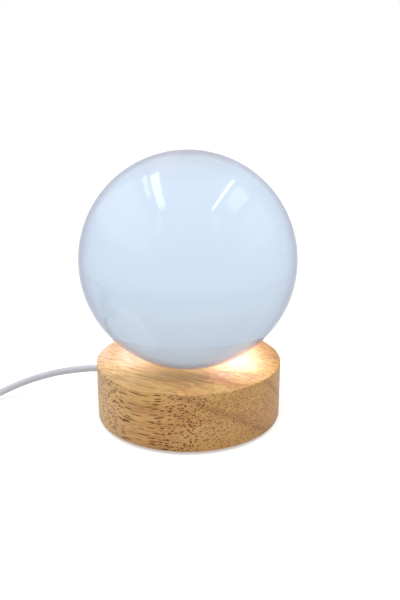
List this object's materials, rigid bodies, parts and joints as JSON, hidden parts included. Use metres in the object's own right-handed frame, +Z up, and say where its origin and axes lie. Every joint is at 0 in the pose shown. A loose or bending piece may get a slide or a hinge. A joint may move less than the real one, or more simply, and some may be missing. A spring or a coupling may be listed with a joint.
{
  "type": "crystal ball lamp",
  "caption": "Night lamp: a clear crystal ball rests on a round wooden base with a light under it, fed by a thin USB lead with an in-line rocker switch.",
  "frame": {"origin": "on the table under the middle of the round wooden base, at the underside of the rubber feet", "axes": "+Z up through the middle of the ball; the picture looks along +Y from the front; the lead leaves the base towards -X and a little towards +Y"},
  "size_m": [0.2055, 0.0954, 0.1005],
  "materials": {
    "crystal": "polished clear crystal",
    "wood": "fine sanded light hardwood, thin satin lacquer",
    "rubber": "matte",
    "clear_plastic": "clear acrylic",
    "white_plastic": "satin moulded",
    "circuit_board": "white solder mask",
    "led_phosphor": "warm white light chip",
    "chip": "chip resistor",
    "steel": "zinc plated",
    "brass": "stamped strip",
    "red_insulation": "wire insulation",
    "black_insulation": "wire insulation",
    "black_plastic": "fine moulded grain",
    "lead_jacket": "soft matte cable jacket",
    "tie_plastic": "thin plastic band"
  },
  "bodies": {
    "base": {"wooden_base": "wood", "foot_pad_1": "rubber", "foot_pad_2": "rubber", "foot_pad_3": "rubber", "foot_pad_4": "rubber", "light_window": "clear_plastic", "light_holder": "white_plastic", "led_board": "circuit_board", "led_1": "led_phosphor", "led_2": "led_phosphor", "led_3": "led_phosphor", "led_4": "led_phosphor", "led_5": "led_phosphor", "led_6": "led_phosphor", "resistor_1": "chip", "resistor_2": "chip", "holder_screw_1": "steel", "holder_screw_2": "steel", "lead_in_base": "lead_jacket", "lead_tie_in_base": "white_plastic", "core_wire_red": "red_insulation", "core_wire_black": "black_insulation", "lead_grommet": "white_plastic", "bottom_cover": "black_plastic", "cover_screw_1": "steel", "cover_screw_2": "steel", "cover_screw_3": "steel", "lead_from_base": "lead_jacket", "lead_coil": "lead_jacket", "coil_tie": "tie_plastic", "lead_to_switch": "lead_jacket", "switch_lower_shell": "white_plastic", "switch_upper_shell": "white_plastic", "switch_contact_1": "brass", "switch_contact_2": "brass", "switch_lead_end_1": "lead_jacket", "switch_lead_end_2": "lead_jacket", "switch_wire_red_1": "red_insulation", "switch_wire_red_2": "red_insulation", "switch_wire_black": "black_insulation", "switch_screw_1": "steel", "switch_screw_2": "steel", "lead_to_plug": "lead_jacket", "plug_body": "white_plastic", "plug_shell": "steel", "plug_tongue": "white_plastic", "plug_contact_1": "brass", "plug_contact_2": "brass", "plug_contact_3": "brass", "plug_contact_4": "brass"},
    "ball": {"crystal_ball": "crystal"},
    "rocker": {"switch_rocker": "white_plastic", "switch_bridge_strip": "brass"}
  },
  "joints": [
    {"name": "ball_lift", "type": "slide", "parent": "base", "child": "ball", "axis": [0, 0, 1], "range_m": [0, 0.05]},
    {"name": "rocker_tilt", "type": "hinge", "parent": "base", "child": "rocker", "pos_m": [-0.1243, -0.0484, 0.0085], "axis": [0, 1, 0], "range_deg": [-16, 0]}
  ]
}
